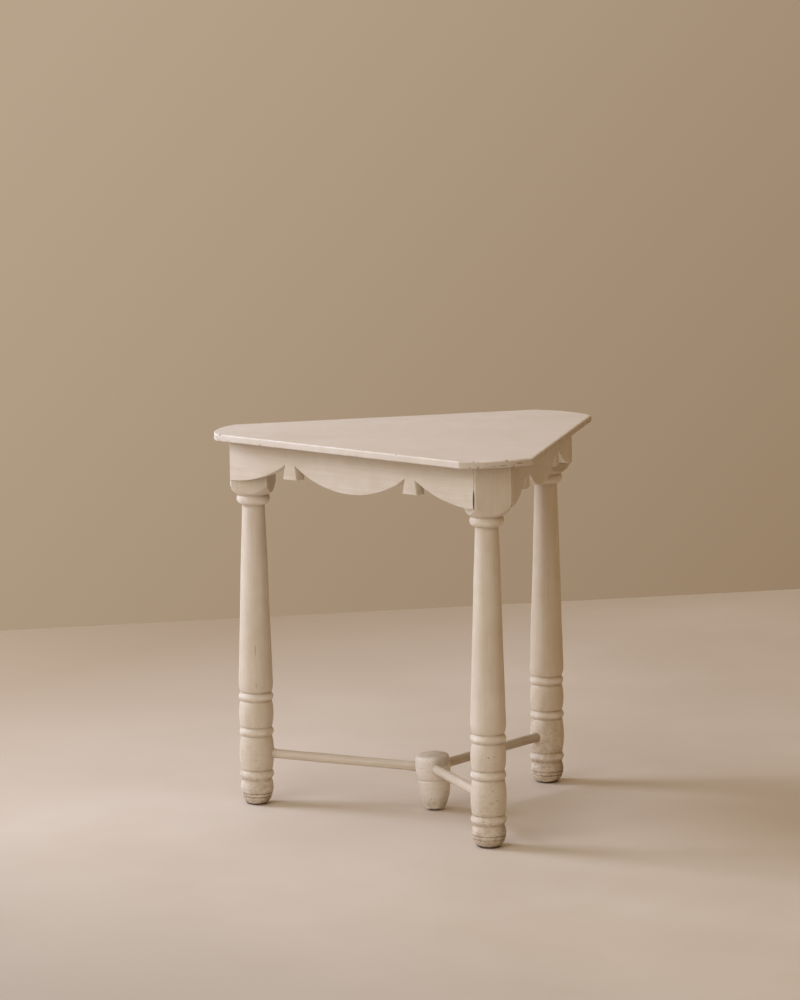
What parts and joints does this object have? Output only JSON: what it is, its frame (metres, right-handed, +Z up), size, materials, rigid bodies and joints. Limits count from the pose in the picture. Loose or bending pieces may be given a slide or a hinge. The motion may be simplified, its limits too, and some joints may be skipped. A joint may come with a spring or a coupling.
{
  "type": "triangular occasional table",
  "caption": "Triangular painted occasional table with bowed clipped corners, scalloped aprons, turned legs and round stretchers that meet in a turned hub.",
  "frame": {"origin": "on the floor, under the centre of the top's bounding box", "axes": "+Z up, +X along the straight back side, -Y towards the front leg"},
  "size_m": [0.6878, 0.6105, 0.66],
  "materials": {
    "painted_top": "worn chalky cream paint with brush marks",
    "painted_legs": "worn chalky cream paint, rubbed on rings and feet",
    "painted_stretchers": "worn chalky cream paint",
    "painted_aprons": "worn chalky cream paint with brush marks",
    "bare_wood": "bare aged softwood",
    "fastener_iron": "dull dark iron"
  },
  "bodies": {
    "root": {"table_top": "painted_top", "leg_front": "painted_legs", "leg_right": "painted_legs", "leg_left": "painted_legs", "stretcher_front": "painted_stretchers", "stretcher_right": "painted_stretchers", "stretcher_left": "painted_stretchers", "stretcher_hub": "painted_stretchers", "apron_front": "painted_aprons", "apron_right": "painted_aprons", "apron_back": "painted_aprons", "glue_block_front_left": "bare_wood", "glue_block_front_right": "bare_wood", "glue_block_right_left": "bare_wood", "glue_block_right_right": "bare_wood", "glue_block_back_left": "bare_wood", "glue_block_back_right": "bare_wood", "apron_nails": "fastener_iron", "glue_block_screws": "fastener_iron"}
  },
  "joints": []
}
